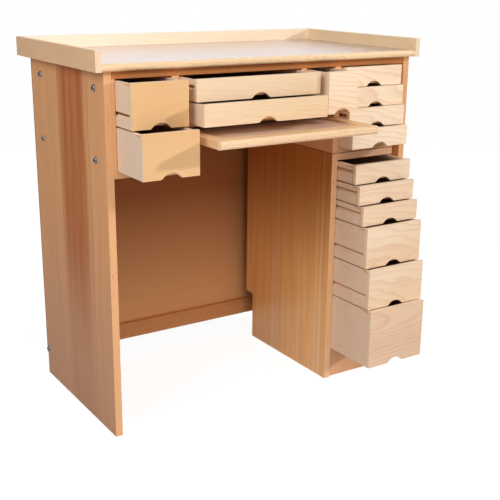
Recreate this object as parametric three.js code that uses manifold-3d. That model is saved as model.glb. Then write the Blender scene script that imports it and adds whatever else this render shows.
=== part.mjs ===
// A wooden jeweller's bench: two end panels carry a top with a low gallery on three sides.
// Under the top hangs a unit of nine drawers with a pull-out tray below it, and a pedestal of
// six more drawers stands at the right of the kneehole. All sizes are in millimetres.
// X runs to the right, Y to the back and Z up from the floor.
import * as THREE from "three";
import { mergeVertices } from "three/addons/utils/BufferGeometryUtils.js";
import Module from "manifold-3d";

const wasm = await Module();
wasm.setup();

// Carcass
const CARCASS_W = 955; // outside the end panels
const CARCASS_D = 480; // end panels, front to back
const CARCASS_H = 949; // floor to the underside of the top
const END_PANEL_T = 20;
const BACK_PANEL_T = 5;
const BACK_PANEL_RISE = 66; // floor to its lower edge
const STRETCHER_T = 18;
const STRETCHER_H = 50;
const STRETCHER_RISE = 62;

// Top and gallery
const TOP_T = 18; // board and laminate together
const LAMINATE_T = 1;
const TOP_SIDE_OVERHANG = 9.5; // board beyond each end panel
const TOP_FRONT_OVERHANG = 15;
const TOP_BACK_OVERHANG = 27;
const LIPPING_W = 16;
const LIPPING_NOSE_R = 8;
const RAIL_T = 15;
const RAIL_H = 51; // from the underside of the top
const RAIL_EDGE_R = 2;

// Drawer unit under the top
const UNIT_BACK_GAP = 24; // between its back edges and the stretcher
const UNIT_TOP_T = 18;
const SIDE_CLEAR_H = 222; // inside the left and right boxes
const CENTRE_CLEAR_H = 112; // above the centre shelf
const BOX_BOTTOM_T = 18;
const SHELF_T = 18;
const DIVIDER_T = 20;
const CENTRE_DIVIDER_T = 18;
const LEFT_SIDE_T = 9;
const LEFT_BAY_W = 152.5;
const NARROW_BAY_W = 97;
const RIGHT_BAY_W = 201;
const RUNNER_BOARD_T = 26.5;
const RUNNER_BOARD_SETBACK = 40; // behind the front edges

// Pedestal
const PEDESTAL_GAP = 1.5; // shadow gap under the drawer unit
const PEDESTAL_TOP_T = 20;
const PEDESTAL_FLOOR_Z = 95; // top of the plinth and of the bottom board
const PEDESTAL_BOTTOM_T = 18;
const PLINTH_T = 18;
const PLINTH_SETBACK = 6;
const NOTCH_D = 38; // cut out of the panel's lower back corner
const NOTCH_H = 152;

// Drawers
const DRAWER_BACK_GAP = 38; // behind a shut drawer, up to the unit's back edges
const FRONT_T = 12;
const SIDE_T = 12;
const BACK_T = 12;
const BOTTOM_T = 9;
const BOTTOM_RISE = 6; // lower edge of the sides to the underside of the bottom
const BOX_DROP = 3; // top of the front to the top of the box behind it
const PULL_ARC_R = 32; // half-moon finger pull in the front's lower edge
const PULL_H = 14;
const PULL_FLARE_R = 8;
const PEDESTAL_SHALLOW_H = 54.5;
const PEDESTAL_DEEP_H = 116;
const SHALLOW_GROOVE_DROP = 21; // top of the front to the middle of the sides' grooves
const DEEP_GROOVE_DROP = 79;

// How far each drawer stands open, from the top of its bank down
const LEFT_OPEN = [86, 137];
const WIDE_OPEN = [86, 121];
const NARROW_OPEN = [98];
const RIGHT_OPEN = [23, 34, 43, 61];
const PEDESTAL_OPEN = [81.5, 101.5, 121.5, 143, 161.5, 175];
const TRAY_OPEN = 194;

// Runners, stops and clearances
const RUNNER_H = 9.5;
const RUNNER_OUT = 6; // out of the panel's face
const RUNNER_HOUSED = 3; // into the panel
const STOP_W = 20;
const STOP_D = 10;
const STOP_PLAY = 1; // over a stop, under the drawer's bottom
const SIDE_GAP = 1; // between a drawer and each side of its bay
const FRONT_GAP = 1.25; // above each drawer
const RUN_GAP = 0.25; // between faces that slide on each other
const GROOVE_PLAY = 1; // under the runner and past its edge

// Tray
const TRAY_T = 21;
const TRAY_BACK_GAP = 18; // behind the shut tray, up to the unit's back edges
const TRAY_SIDE_GAP = 3;
const TRAY_HEADROOM = 5; // under the centre shelf
const TRAY_FRAME_W = 40;
const TRAY_LIPPING_W = 14;
const TRAY_NOSE_R = 8;
const SHEET_T = 3;
const SHEET_DROP = 5; // top of the frame to the sheet
const SHEET_LEDGE = 10; // rebate that carries the sheet
const TRAY_RUNNER_W = 14;
const TRAY_RUNNER_H = 14;
const TRAY_RUNNER_SETBACK = 20;

// Drawing
const ARC_STEPS = 4; // half the number of straight steps in each arc
const ROUND_LIMIT = 0.45; // most of a strip's thickness that one rounded edge may take
const CUT_OVER = 1; // a cutter runs this far past the face that it opens

// Levels and faces that the pieces share
const FRONT_Y = -CARCASS_D / 2;
const BACK_Y = CARCASS_D / 2;
const UNIT_BACK_Y = BACK_Y - STRETCHER_T - UNIT_BACK_GAP;
const DRAWER_BACK_Y = UNIT_BACK_Y - DRAWER_BACK_GAP;
const TRAY_BACK_Y = UNIT_BACK_Y - TRAY_BACK_GAP;
const RUNNER_BOARD_Y = FRONT_Y + RUNNER_BOARD_SETBACK;
const OUTER_X = CARCASS_W / 2;
const INNER_X = OUTER_X - END_PANEL_T;
const TOP_X = OUTER_X + TOP_SIDE_OVERHANG;
const TOP_FRONT_Y = FRONT_Y - TOP_FRONT_OVERHANG;
const TOP_BACK_Y = BACK_Y + TOP_BACK_OVERHANG;
const LIPPING_BACK_Y = TOP_FRONT_Y + LIPPING_W;
const TOP_Z = CARCASS_H + TOP_T;
const LAMINATE_Z = TOP_Z - LAMINATE_T;
const RAIL_Z = CARCASS_H + RAIL_H;
const RAIL_BACK_Y = TOP_BACK_Y + RAIL_T;
const CEILING_Z = CARCASS_H - UNIT_TOP_T;
const BOX_FLOOR_Z = CEILING_Z - SIDE_CLEAR_H;
const BOX_UNDER_Z = BOX_FLOOR_Z - BOX_BOTTOM_T;
const SHELF_Z = CEILING_Z - CENTRE_CLEAR_H;
const SHELF_UNDER_Z = SHELF_Z - SHELF_T;
const PEDESTAL_Z = BOX_UNDER_Z - PEDESTAL_GAP;
const PEDESTAL_CEILING_Z = PEDESTAL_Z - PEDESTAL_TOP_T;
const TRAY_TOP_Z = SHELF_UNDER_Z - TRAY_HEADROOM;
const TRAY_Z = TRAY_TOP_Z - TRAY_T;

// Drawer bays: the middle one takes the width that the others leave
const leftStart = -INNER_X + LEFT_SIDE_T;
const leftBay = bayBetween(leftStart, leftStart + LEFT_BAY_W, BOX_FLOOR_Z, CEILING_Z);
const rightEnd = INNER_X - RUNNER_BOARD_T;
const rightBay = bayBetween(rightEnd - RIGHT_BAY_W, rightEnd, BOX_FLOOR_Z, CEILING_Z);
const narrowEnd = rightBay.x0 - DIVIDER_T;
const narrowBay = bayBetween(narrowEnd - NARROW_BAY_W, narrowEnd, SHELF_Z, CEILING_Z);
const wideBay = bayBetween(leftBay.x1 + DIVIDER_T, narrowBay.x0 - CENTRE_DIVIDER_T, SHELF_Z, CEILING_Z);
const pedestalBay = bayBetween(rightBay.x0, rightBay.x1, PEDESTAL_FLOOR_Z, PEDESTAL_CEILING_Z);

function bayBetween(x0, x1, floor, ceiling) {
  return { x0, x1, floor, ceiling };
}

// Height that a bay's drawers have to share, without the gaps above and below them.
function heightToShare(bay, count) {
  return bay.ceiling - bay.floor - RUN_GAP - count * FRONT_GAP;
}

function evenHeights(bay, opens) {
  return Array(opens.length).fill(heightToShare(bay, opens.length) / opens.length);
}

// The bottom drawer of the pedestal takes the height that the others leave.
function pedestalHeights() {
  const upper = [...Array(3).fill(PEDESTAL_SHALLOW_H), ...Array(2).fill(PEDESTAL_DEEP_H)];
  const taken = upper.reduce((sum, height) => sum + height, 0);
  return [...upper, heightToShare(pedestalBay, PEDESTAL_OPEN.length) - taken];
}

// A bank of drawers, from the top down. The lowest runs on the floor of its bay, the rest on runners.
function bankOf(name, bay, heights, opens, grooveDrops) {
  const lowest = heights.length - 1;
  const drawers = [];
  let z0 = bay.floor + RUN_GAP;
  for (let i = lowest; i >= 0; i -= 1) {
    const z1 = z0 + heights[i];
    drawers.unshift({
      name: lowest > 0 ? `${name}_drawer_${i + 1}` : `${name}_drawer`,
      x0: bay.x0 + SIDE_GAP,
      x1: bay.x1 - SIDE_GAP,
      z0,
      z1,
      open: opens[i],
      runnerZ: i < lowest ? z1 - grooveDrops[i] : null,
    });
    z0 = z1 + FRONT_GAP;
  }
  return drawers;
}

const shallow = (count) => Array(count).fill(SHALLOW_GROOVE_DROP);
const deep = (count) => Array(count).fill(DEEP_GROOVE_DROP);
const leftBank = bankOf("left", leftBay, evenHeights(leftBay, LEFT_OPEN), LEFT_OPEN, deep(1));
const wideBank = bankOf("wide", wideBay, evenHeights(wideBay, WIDE_OPEN), WIDE_OPEN, shallow(1));
const narrowBank = bankOf("narrow", narrowBay, evenHeights(narrowBay, NARROW_OPEN), NARROW_OPEN, []);
const rightBank = bankOf("right", rightBay, evenHeights(rightBay, RIGHT_OPEN), RIGHT_OPEN, shallow(3));
const pedestalDrops = [...shallow(3), ...deep(2)];
const pedestalBank = bankOf("pedestal", pedestalBay, pedestalHeights(), PEDESTAL_OPEN, pedestalDrops);
const allDrawers = [...leftBank, ...wideBank, ...narrowBank, ...rightBank, ...pedestalBank];

// Outlines and solids

function rectangle(u0, u1, v0, v1) {
  const outline = new THREE.Shape();
  outline.moveTo(u0, v0);
  outline.lineTo(u1, v0);
  outline.lineTo(u1, v1);
  outline.lineTo(u0, v1);
  return outline;
}

// An outline stood between two faces across an axis. It is drawn in the other two axes: Y and Z
// for a prism along X, X and Z for one along Y, X and Y for one along Z.
function prism(outline, axis, low, high) {
  const unitDepth = { depth: 1, bevelEnabled: false, curveSegments: ARC_STEPS };
  const geometry = new THREE.ExtrudeGeometry(outline, unitDepth);
  const position = geometry.getAttribute("position");
  for (let i = 0; i < position.count; i += 1) {
    const u = position.getX(i);
    const v = position.getY(i);
    const far = position.getZ(i) > 0;
    if (axis === "x") position.setXYZ(i, far ? high : low, u, v);
    if (axis === "y") position.setXYZ(i, u, far ? low : high, v);
    if (axis === "z") position.setXYZ(i, u, v, far ? high : low);
  }
  geometry.deleteAttribute("uv");
  geometry.computeVertexNormals();
  return geometry;
}

// A board between its lowest and its highest corner.
function board(low, high) {
  return prism(rectangle(low[0], high[0], low[1], high[1]), "z", low[2], high[2]);
}

function solidOf(geometry) {
  const bare = geometry.clone();
  bare.deleteAttribute("normal");
  const merged = mergeVertices(bare);
  const vertProperties = merged.getAttribute("position").array;
  const triVerts = new Uint32Array(merged.index.array);
  return new wasm.Manifold(new wasm.Mesh({ numProp: 3, vertProperties, triVerts }));
}

function geometryOf(solid) {
  const { vertProperties, triVerts } = solid.getMesh();
  const indexed = new THREE.BufferGeometry();
  indexed.setAttribute("position", new THREE.BufferAttribute(new Float32Array(vertProperties), 3));
  indexed.setIndex(Array.from(triVerts));
  const geometry = indexed.toNonIndexed();
  geometry.computeVertexNormals();
  return geometry;
}

function fused(body, additions) {
  return geometryOf(additions.reduce((solid, addition) => solid.add(solidOf(addition)), solidOf(body)));
}

function carved(body, cutters) {
  return geometryOf(cutters.reduce((solid, cutter) => solid.subtract(solidOf(cutter)), solidOf(body)));
}

// Section of a strip whose front edge is rounded above and below, drawn in Y and Z.
function nosedSection(y0, y1, z0, z1, noseR) {
  const radius = Math.min(noseR, ROUND_LIMIT * (z1 - z0));
  const outline = new THREE.Shape();
  outline.moveTo(y1, z0);
  outline.lineTo(y1, z1);
  outline.lineTo(y0 + radius, z1);
  outline.absarc(y0 + radius, z1 - radius, radius, Math.PI / 2, Math.PI, false);
  outline.lineTo(y0, z0 + radius);
  outline.absarc(y0 + radius, z0 + radius, radius, Math.PI, 1.5 * Math.PI, false);
  return outline;
}

// Section of an upright rail with both upper edges rounded.
function railSection(u0, u1) {
  const radius = Math.min(RAIL_EDGE_R, ROUND_LIMIT * (u1 - u0));
  const outline = new THREE.Shape();
  outline.moveTo(u0, CARCASS_H);
  outline.lineTo(u1, CARCASS_H);
  outline.lineTo(u1, RAIL_Z - radius);
  outline.absarc(u1 - radius, RAIL_Z - radius, radius, 0, Math.PI / 2, false);
  outline.lineTo(u0 + radius, RAIL_Z);
  outline.absarc(u0 + radius, RAIL_Z - radius, radius, Math.PI / 2, Math.PI, false);
  return outline;
}

// Materials and nodes

const BIRCH = { color: 0xecc9a0, roughness: 0.5 };
const DRAWER_SIDE = { color: 0xcfb396, roughness: 0.6 };
const BEECH = { color: 0xc98f63, roughness: 0.5 };
const PANEL = { color: 0xb5825a, roughness: 0.5 };
const RAIL_PLY = { color: 0xd9b98c, roughness: 0.5 };
const HARDBOARD = { color: 0xa86f45, roughness: 0.7 };
const LAMINATE = { color: 0xe6dcd8, roughness: 0.35 };

function addPiece(group, name, geometry, finish) {
  const piece = new THREE.Mesh(geometry, new THREE.MeshStandardMaterial({ ...finish, metalness: 0 }));
  piece.name = name;
  group.add(piece);
}

// Runner strips of a bank on the face of a panel. They stand out of it towards +X or -X.
function runnersOn(bank, faceX, outward, frontY) {
  const edges = [faceX - outward * RUNNER_HOUSED, faceX + outward * RUNNER_OUT];
  const x0 = Math.min(...edges);
  const x1 = Math.max(...edges);
  const hung = bank.filter((drawer) => drawer.runnerZ !== null);
  return hung.map(({ runnerZ }) =>
    board([x0, frontY, runnerZ - RUNNER_H / 2], [x1, UNIT_BACK_Y, runnerZ + RUNNER_H / 2]),
  );
}

// A runner begins just behind the drawer's front, so that it stops the drawer when it is shut.
const RUNNER_Y = FRONT_Y + FRONT_T + RUN_GAP;

// Block glued to the floor of a bay, under the lowest drawer's bottom. It stops that drawer's front.
function stopIn(bay) {
  const x0 = bay.x0 + SIDE_GAP + SIDE_T + GROOVE_PLAY;
  const stopZ = bay.floor + BOTTOM_RISE - STOP_PLAY;
  return board([x0, RUNNER_Y, bay.floor], [x0 + STOP_W, RUNNER_Y + STOP_D, stopZ]);
}

function addCarcass(group) {
  const endPanel = (x0, x1) => board([x0, FRONT_Y, 0], [x1, BACK_Y, CARCASS_H]);
  addPiece(group, "left_end_panel", endPanel(-OUTER_X, -INNER_X), PANEL);
  addPiece(group, "right_end_panel", endPanel(INNER_X, OUTER_X), PANEL);
  const backLow = [-OUTER_X, BACK_Y, BACK_PANEL_RISE];
  addPiece(group, "back_panel", board(backLow, [OUTER_X, BACK_Y + BACK_PANEL_T, CARCASS_H]), HARDBOARD);
  const stretcherLow = [-INNER_X, BACK_Y - STRETCHER_T, STRETCHER_RISE];
  const stretcherHigh = [INNER_X, BACK_Y, STRETCHER_RISE + STRETCHER_H];
  addPiece(group, "rear_stretcher", board(stretcherLow, stretcherHigh), BEECH);
}

function addTop(group) {
  const coreLow = [-TOP_X, LIPPING_BACK_Y, CARCASS_H];
  addPiece(group, "bench_top", board(coreLow, [TOP_X, TOP_BACK_Y, LAMINATE_Z]), BIRCH);
  const sheetLow = [-TOP_X, LIPPING_BACK_Y, LAMINATE_Z];
  addPiece(group, "work_surface", board(sheetLow, [TOP_X, TOP_BACK_Y, TOP_Z]), LAMINATE);
  const lipping = nosedSection(TOP_FRONT_Y, LIPPING_BACK_Y, CARCASS_H, TOP_Z, LIPPING_NOSE_R);
  addPiece(group, "top_front_lipping", prism(lipping, "x", -TOP_X, TOP_X), BEECH);
  const leftRail = railSection(-TOP_X - RAIL_T, -TOP_X);
  addPiece(group, "left_gallery_rail", prism(leftRail, "y", TOP_FRONT_Y, RAIL_BACK_Y), RAIL_PLY);
  const rightRail = railSection(TOP_X, TOP_X + RAIL_T);
  addPiece(group, "right_gallery_rail", prism(rightRail, "y", TOP_FRONT_Y, RAIL_BACK_Y), RAIL_PLY);
  const backRail = railSection(TOP_BACK_Y, RAIL_BACK_Y);
  addPiece(group, "back_gallery_rail", prism(backRail, "x", -TOP_X, TOP_X), RAIL_PLY);
}

function addDrawerUnit(group) {
  // An upright of the unit, from its underside up to the ceiling.
  const upright = (x0, x1, z0, y0 = FRONT_Y) => board([x0, y0, z0], [x1, UNIT_BACK_Y, CEILING_Z]);
  const unitTop = board([-INNER_X, FRONT_Y, CEILING_Z], [INNER_X, UNIT_BACK_Y, CARCASS_H]);
  addPiece(group, "unit_top_panel", unitTop, PANEL);

  const leftSide = upright(-INNER_X, leftBay.x0, BOX_UNDER_Z);
  const leftRunners = runnersOn(leftBank, leftBay.x0, 1, RUNNER_Y);
  addPiece(group, "left_box_side", fused(leftSide, leftRunners), PANEL);
  const leftDivider = upright(leftBay.x1, wideBay.x0, BOX_UNDER_Z);
  const leftDividerRunners = [
    ...runnersOn(leftBank, leftBay.x1, -1, RUNNER_Y),
    ...runnersOn(wideBank, wideBay.x0, 1, RUNNER_Y),
  ];
  addPiece(group, "left_divider", fused(leftDivider, leftDividerRunners), PANEL);
  const centreDivider = upright(wideBay.x1, narrowBay.x0, SHELF_Z);
  const centreRunners = runnersOn(wideBank, wideBay.x1, -1, RUNNER_Y);
  addPiece(group, "centre_divider", fused(centreDivider, centreRunners), PANEL);
  const rightDivider = upright(narrowBay.x1, rightBay.x0, BOX_UNDER_Z);
  const rightRunners = runnersOn(rightBank, rightBay.x0, 1, RUNNER_Y);
  addPiece(group, "right_divider", fused(rightDivider, rightRunners), PANEL);
  const runnerBoard = upright(rightBay.x1, INNER_X, BOX_UNDER_Z, RUNNER_BOARD_Y);
  const boardRunners = runnersOn(rightBank, rightBay.x1, -1, RUNNER_BOARD_Y);
  addPiece(group, "right_runner_board", fused(runnerBoard, boardRunners), PANEL);

  const boxBottom = (bay) => board([bay.x0, FRONT_Y, BOX_UNDER_Z], [bay.x1, UNIT_BACK_Y, BOX_FLOOR_Z]);
  addPiece(group, "left_box_bottom", fused(boxBottom(leftBay), [stopIn(leftBay)]), PANEL);
  addPiece(group, "right_box_bottom", fused(boxBottom(rightBay), [stopIn(rightBay)]), PANEL);
  const shelf = board([wideBay.x0, FRONT_Y, SHELF_UNDER_Z], [narrowBay.x1, UNIT_BACK_Y, SHELF_Z]);
  addPiece(group, "centre_shelf", fused(shelf, [stopIn(wideBay), stopIn(narrowBay)]), PANEL);
}

// The pedestal's left panel stands on the floor, with a notch at its lower back corner.
function pedestalPanel() {
  const outline = new THREE.Shape();
  outline.moveTo(FRONT_Y, 0);
  outline.lineTo(UNIT_BACK_Y - NOTCH_D, 0);
  outline.lineTo(UNIT_BACK_Y - NOTCH_D, NOTCH_H);
  outline.lineTo(UNIT_BACK_Y, NOTCH_H);
  outline.lineTo(UNIT_BACK_Y, PEDESTAL_Z);
  outline.lineTo(FRONT_Y, PEDESTAL_Z);
  return prism(outline, "x", narrowBay.x1, pedestalBay.x0);
}

function addPedestal(group) {
  const { x0, x1, floor, ceiling } = pedestalBay;
  const panelRunners = runnersOn(pedestalBank, x0, 1, RUNNER_Y);
  addPiece(group, "pedestal_left_panel", fused(pedestalPanel(), panelRunners), PANEL);
  addPiece(group, "pedestal_top", board([x0, FRONT_Y, ceiling], [x1, UNIT_BACK_Y, PEDESTAL_Z]), PANEL);
  const plinthY = FRONT_Y + PLINTH_SETBACK;
  const bottomY = plinthY + PLINTH_T;
  const runnerBoardY = Math.max(RUNNER_BOARD_Y, bottomY);
  const runnerBoard = board([x1, runnerBoardY, 0], [INNER_X, UNIT_BACK_Y, PEDESTAL_Z]);
  const boardRunners = runnersOn(pedestalBank, x1, -1, runnerBoardY);
  addPiece(group, "pedestal_runner_board", fused(runnerBoard, boardRunners), PANEL);
  const plinth = board([x0, plinthY, 0], [INNER_X, bottomY, floor]);
  addPiece(group, "plinth_board", fused(plinth, [stopIn(pedestalBay)]), PANEL);
  const bottom = board([x0, bottomY, floor - PEDESTAL_BOTTOM_T], [x1, UNIT_BACK_Y, floor]);
  addPiece(group, "pedestal_bottom", bottom, PANEL);
}

// A drawer front: a board with a half-moon finger pull whose ends flare into its lower edge.
function drawerFront({ x0, x1, z0, z1 }) {
  const middle = (x0 + x1) / 2;
  const arcZ = z0 + PULL_H - PULL_ARC_R;
  const flareZ = z0 + PULL_FLARE_R;
  const reach = PULL_ARC_R + PULL_FLARE_R;
  const mouth = Math.sqrt(reach ** 2 - (flareZ - arcZ) ** 2);
  const tilt = Math.asin((flareZ - arcZ) / reach);
  const outline = new THREE.Shape();
  outline.moveTo(x0, z0);
  outline.lineTo(middle - mouth, z0);
  outline.absarc(middle - mouth, flareZ, PULL_FLARE_R, -Math.PI / 2, -tilt, false);
  outline.absarc(middle, arcZ, PULL_ARC_R, Math.PI - tilt, tilt, true);
  outline.absarc(middle + mouth, flareZ, PULL_FLARE_R, Math.PI + tilt, 1.5 * Math.PI, false);
  outline.lineTo(x1, z0);
  outline.lineTo(x1, z1);
  outline.lineTo(x0, z1);
  return prism(outline, "y", FRONT_Y, FRONT_Y + FRONT_T);
}

// A drawer box: two sides, a back and a raised bottom, open to the front that closes it.
function drawerBox({ x0, x1, z0, z1, runnerZ }) {
  const y0 = FRONT_Y + FRONT_T;
  const y1 = DRAWER_BACK_Y;
  const inX0 = x0 + SIDE_T;
  const inX1 = x1 - SIDE_T;
  const floor = z0 + BOTTOM_RISE + BOTTOM_T;
  const rim = z1 - BOX_DROP;
  const cutters = [
    board([inX0, y0 - CUT_OVER, floor], [inX1, y1 - BACK_T, rim + CUT_OVER]),
    board([inX0, y0 - CUT_OVER, z0 - CUT_OVER], [inX1, y1 + CUT_OVER, z0 + BOTTOM_RISE]),
  ];
  if (runnerZ !== null) {
    const depth = RUNNER_OUT - SIDE_GAP + GROOVE_PLAY;
    const grooveZ0 = runnerZ - RUNNER_H / 2 - GROOVE_PLAY;
    const grooveZ1 = runnerZ + RUNNER_H / 2 + RUN_GAP;
    cutters.push(board([x0 - CUT_OVER, y0 - CUT_OVER, grooveZ0], [x0 + depth, y1 + CUT_OVER, grooveZ1]));
    cutters.push(board([x1 - depth, y0 - CUT_OVER, grooveZ0], [x1 + CUT_OVER, y1 + CUT_OVER, grooveZ1]));
  }
  return carved(board([x0, y0, z0], [x1, y1, rim]), cutters);
}

function addDrawers(group) {
  for (const drawer of allDrawers) {
    const slide = new THREE.Group();
    slide.position.y = -drawer.open;
    addPiece(slide, `${drawer.name}_front`, drawerFront(drawer), BIRCH);
    addPiece(slide, `${drawer.name}_box`, drawerBox(drawer), DRAWER_SIDE);
    group.add(slide);
  }
}

// The tray's frame: a board with a rebated opening, in which the sheet lies on a ledge.
function trayFrame(x0, x1, y0, y1) {
  const ledgeZ = TRAY_TOP_Z - SHEET_DROP - SHEET_T;
  const inner = TRAY_FRAME_W;
  const rebate = TRAY_FRAME_W - SHEET_LEDGE;
  return carved(board([x0, y0, TRAY_Z], [x1, y1, TRAY_TOP_Z]), [
    board([x0 + rebate, y0 + rebate, ledgeZ], [x1 - rebate, y1 - rebate, TRAY_TOP_Z + CUT_OVER]),
    board([x0 + inner, y0 + inner, TRAY_Z - CUT_OVER], [x1 - inner, y1 - inner, ledgeZ + CUT_OVER]),
  ]);
}

function addTray(group) {
  const x0 = wideBay.x0 + TRAY_SIDE_GAP;
  const x1 = narrowBay.x1 - TRAY_SIDE_GAP;
  const y0 = FRONT_Y + TRAY_LIPPING_W;
  const y1 = TRAY_BACK_Y;
  const slide = new THREE.Group();
  slide.position.y = -TRAY_OPEN;
  addPiece(slide, "tray_frame", trayFrame(x0, x1, y0, y1), BEECH);
  const lipping = nosedSection(FRONT_Y, y0, TRAY_Z, TRAY_TOP_Z, TRAY_NOSE_R);
  addPiece(slide, "tray_front_lipping", prism(lipping, "x", x0, x1), BEECH);
  const edge = TRAY_FRAME_W - SHEET_LEDGE + RUN_GAP;
  const sheetZ = TRAY_TOP_Z - SHEET_DROP;
  const sheet = board([x0 + edge, y0 + edge, sheetZ - SHEET_T], [x1 - edge, y1 - edge, sheetZ]);
  addPiece(slide, "tray_sheet", sheet, LAMINATE);
  group.add(slide);

  const runnerZ1 = TRAY_Z - RUN_GAP;
  const runnerZ0 = runnerZ1 - TRAY_RUNNER_H;
  const runnerY = FRONT_Y + TRAY_RUNNER_SETBACK;
  const runner = (low, high) => board([low, runnerY, runnerZ0], [high, UNIT_BACK_Y, runnerZ1]);
  addPiece(group, "left_tray_runner", runner(wideBay.x0, wideBay.x0 + TRAY_RUNNER_W), BEECH);
  addPiece(group, "right_tray_runner", runner(narrowBay.x1 - TRAY_RUNNER_W, narrowBay.x1), BEECH);
}

// The bench stands with the middle of its floor space, drawers as they are, on the origin.
const bench = new THREE.Group();
addCarcass(bench);
addTop(bench);
addDrawerUnit(bench);
addPedestal(bench);
addDrawers(bench);
addTray(bench);
const widestOpen = Math.max(TRAY_OPEN, ...allDrawers.map((drawer) => drawer.open));
bench.position.y = -(FRONT_Y - widestOpen + RAIL_BACK_Y) / 2;

const part = new THREE.Group();
part.add(bench);

export default part;
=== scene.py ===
"""Looks of a wooden jeweller's bench with a gallery top, drawers, a pull-out tray and a pedestal.

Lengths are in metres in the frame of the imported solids: X to the right, Y to the back, Z up.
Sizes of patterns are given in millimetres.
"""

import logging
import math
from dataclasses import dataclass, replace
from enum import Enum
from typing import Protocol

import bpy
from mathutils import Euler, Matrix, Vector


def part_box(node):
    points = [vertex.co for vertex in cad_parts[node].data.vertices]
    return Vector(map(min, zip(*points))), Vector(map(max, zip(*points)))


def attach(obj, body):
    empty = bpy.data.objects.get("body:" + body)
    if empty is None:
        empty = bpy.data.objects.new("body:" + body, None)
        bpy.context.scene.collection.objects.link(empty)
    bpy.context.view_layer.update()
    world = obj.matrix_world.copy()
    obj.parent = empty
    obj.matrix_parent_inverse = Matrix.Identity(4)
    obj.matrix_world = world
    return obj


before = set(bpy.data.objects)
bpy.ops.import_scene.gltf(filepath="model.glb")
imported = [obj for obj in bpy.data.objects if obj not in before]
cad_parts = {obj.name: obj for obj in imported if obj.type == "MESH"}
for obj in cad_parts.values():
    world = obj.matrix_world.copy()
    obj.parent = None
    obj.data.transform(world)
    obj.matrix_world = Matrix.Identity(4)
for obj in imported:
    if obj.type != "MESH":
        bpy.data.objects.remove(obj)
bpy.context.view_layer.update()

LOG = logging.getLogger("bench")
MM = 0.001
AXES = {"x": Vector((1, 0, 0)), "y": Vector((0, 1, 0)), "z": Vector((0, 0, 1))}

# The kinds of node that the materials use most.
MATH = "ShaderNodeMath"
VECTOR = "ShaderNodeVectorMath"
MIX = "ShaderNodeMix"
RANGE = "ShaderNodeMapRange"
NOISE = "ShaderNodeTexNoise"
SPLIT = "ShaderNodeSeparateXYZ"
JOIN = "ShaderNodeCombineXYZ"

# Share of a normal past which a face looks along an axis.
FACING = 0.5
# Levels between which most of a noise lies, and narrower ones for a slow drift.
NOISE_LOW, NOISE_HIGH = 0.3, 0.7
DRIFT_LOW, DRIFT_HIGH = 0.35, 0.68
# Repeats in a metre along, across and through the wood. Fibres come out about 2 mm wide, because real
# ones are finer than the render can show, and ray flecks about 2 mm wide and 12 mm long.
DRIFTS_PER_M = (1.3, 7.0, 7.0)
FIBRES_PER_M = (12.0, 480.0, 480.0)
FLECKS_PER_M = (80.0, 430.0, 430.0)
# Specks in sanded wood, coarser than real pores so that they show.
SPECK_MM = 3.0
# Strength of the growth lines over one ring: they darken slowly and end sharply.
RING_LINE = ((0.0, 0.0), (0.45, 0.12), (0.8, 0.7), (0.9, 1.0), (1.0, 0.0))
# Share of the growth lines' depth where the slow drift is least and most.
RING_FADE = (0.5, 1.3)
# Thickness of a drawer's sides, and the depth that still counts as a face's skin.
SIDE_MM = 12.0
SKIN_MM = 0.5
# Edges sharper than this are eased, after corners this close are merged.
EASED_ANGLE = math.radians(40)
MERGE_MM = 0.01

Socket = bpy.types.NodeSocket
Tree = bpy.types.NodeTree
Material = bpy.types.Material
Triple = tuple[float, float, float]
Colour = tuple[float, float, float, float]


class Grain(Enum):
    """How a board lies: the axis its grain follows, then the axis across its width."""

    UP_IN_SIDE = ("z", "y")
    LEVEL_IN_FRONT = ("x", "z")
    LEVEL_FLAT = ("x", "y")
    DEEP_IN_SIDE = ("y", "z")
    DEEP_FLAT = ("y", "x")

    def turn(self) -> Euler:
        """Returns the angles that lay the grain on X and the board's width on Y."""
        along, across = AXES[self.value[0]], AXES[self.value[1]]
        return Matrix((along, across, along.cross(across))).to_euler("XYZ")


def linear(code: str) -> Colour:
    """Turns an sRGB hex colour into linear values.

    Args:
        code: six hex digits.

    Returns:
        Red, green, blue and an alpha of 1.
    """
    parts = [int(code[i : i + 2], 16) / 255 for i in (0, 2, 4)]
    red, green, blue = [p / 12.92 if p <= 0.04045 else ((p + 0.055) / 1.055) ** 2.4 for p in parts]
    return red, green, blue, 1.0


def grey(level: float) -> Colour:
    """Returns a linear grey."""
    return level, level, level, 1.0


def add_node(tree: Tree, kind: str, feeds: dict[int | str, object] | None = None, out: int | str = 0,
             stops: tuple[tuple[float, Colour], ...] = (), **settings: str) -> Socket | None:
    """Adds one node with its settings and links.

    Args:
        tree: the tree that gets the node.
        kind: the node's type.
        feeds: for each input, a socket to link or a value to set.
        out: the output to return.
        stops: positions and colours, for a colour ramp.
        settings: the node's own properties.

    Returns:
        The chosen output, or None where the node has none.
    """
    node = tree.nodes.new(kind)
    for name, value in settings.items():
        setattr(node, name, value)
    for key, value in (feeds or {}).items():
        if isinstance(value, Socket):
            tree.links.new(value, node.inputs[key])
        else:
            node.inputs[key].default_value = value
    if stops:
        ramp = node.color_ramp
        while len(ramp.elements) < len(stops):
            ramp.elements.new(0.5)
        for element, (position, colour) in zip(ramp.elements, stops):
            element.position = position
            element.color = colour
    return node.outputs[out] if node.outputs else None


def new_material(name: str, specular: float = 0.5) -> tuple[Material, Tree, bpy.types.Node]:
    """Starts a material.

    Args:
        name: the material's name.
        specular: level of its mirror-like reflection.

    Returns:
        The material, its tree and its surface shader.
    """
    material = bpy.data.materials.new(name)
    material.use_nodes = True
    shader = material.node_tree.nodes["Principled BSDF"]
    shader.inputs["Specular IOR Level"].default_value = specular
    return material, material.node_tree, shader


class Overlay(Protocol):
    """Something laid over a wood's own colour."""

    def lay(self, tree: Tree, where: Socket, colour: Socket) -> Socket:
        """Returns the colour with this laid over it."""


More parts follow.
